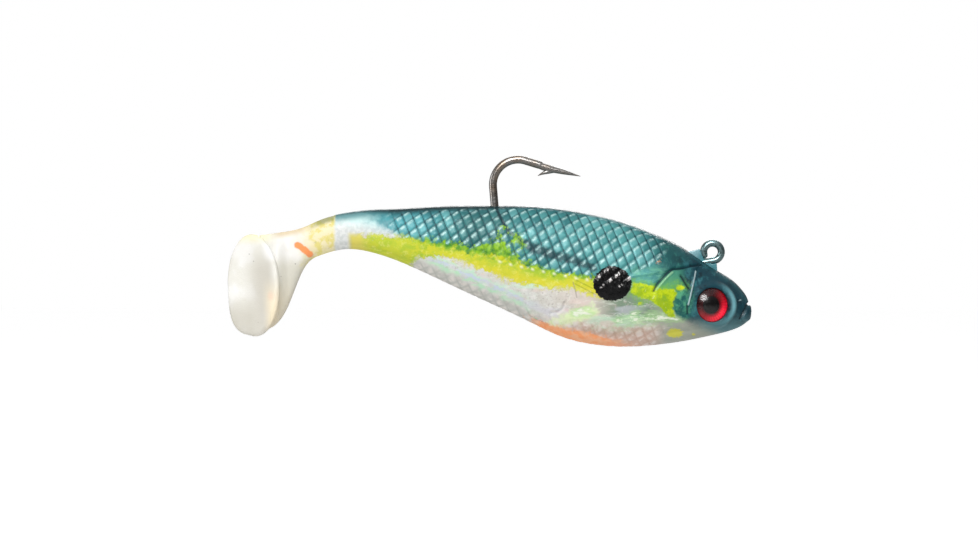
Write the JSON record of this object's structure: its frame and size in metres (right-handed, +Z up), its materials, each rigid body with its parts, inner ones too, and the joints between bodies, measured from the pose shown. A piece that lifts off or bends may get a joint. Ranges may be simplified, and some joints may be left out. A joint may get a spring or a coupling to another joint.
{
  "type": "swimbait",
  "caption": "Soft plastic paddle-tail fish cast round a weighted jig hook, with inner foil sheets, glued red eyes and a side-to-side flexing tail.",
  "frame": {"origin": "centre of the hook's line-tie eye, in the fish's middle plane", "axes": "+X towards the nose, +Y to the fish's left side, +Z up towards the back and the hook point; the middle part of the back lies level"},
  "size_m": [0.1029, 0.014, 0.0373],
  "materials": {
    "soft_plastic": "translucent soft plastic, painted: metallic teal back, chartreuse side stripe, pearl belly, orange throat line, black side spot; gloss clear coat",
    "clear_plastic": "milky translucent soft plastic, glossy, with a faint yellow tint",
    "hook_steel": "black nickel, smooth and glossy",
    "ballast_metal": "dull grey cast lead",
    "foil": "holographic silver film, crinkled",
    "eye_print": "red metallic foil print with a black pupil",
    "eye_resin": "clear domed resin, high gloss"
  },
  "bodies": {
    "trunk": {"trunk_casting": "soft_plastic", "jig_hook": "hook_steel", "ballast": "ballast_metal", "foil_left": "foil", "foil_right": "foil", "iris_left": "eye_print", "iris_right": "eye_print", "lens_left": "eye_resin", "lens_right": "eye_resin"},
    "rear": {"rear_casting": "soft_plastic"},
    "wrist": {"wrist_casting": "clear_plastic"},
    "paddle": {"paddle_casting": "clear_plastic"}
  },
  "joints": [
    {"name": "rear_flex", "type": "hinge", "parent": "trunk", "child": "rear", "pos_m": [-0.052, 0, 0], "axis": [0, 0, 1], "range_deg": [-12, 12], "stiffness_Nm_per_rad": 0.017},
    {"name": "wrist_flex", "type": "hinge", "parent": "rear", "child": "wrist", "pos_m": [-0.067, 0, 0.004], "axis": [0, 0, 1], "range_deg": [-25, 25], "stiffness_Nm_per_rad": 0.0016},
    {"name": "paddle_flex", "type": "hinge", "parent": "wrist", "child": "paddle", "pos_m": [-0.0785, 0, 0.001], "axis": [0, 0, 1], "range_deg": [-30, 30], "stiffness_Nm_per_rad": 0.0011}
  ]
}
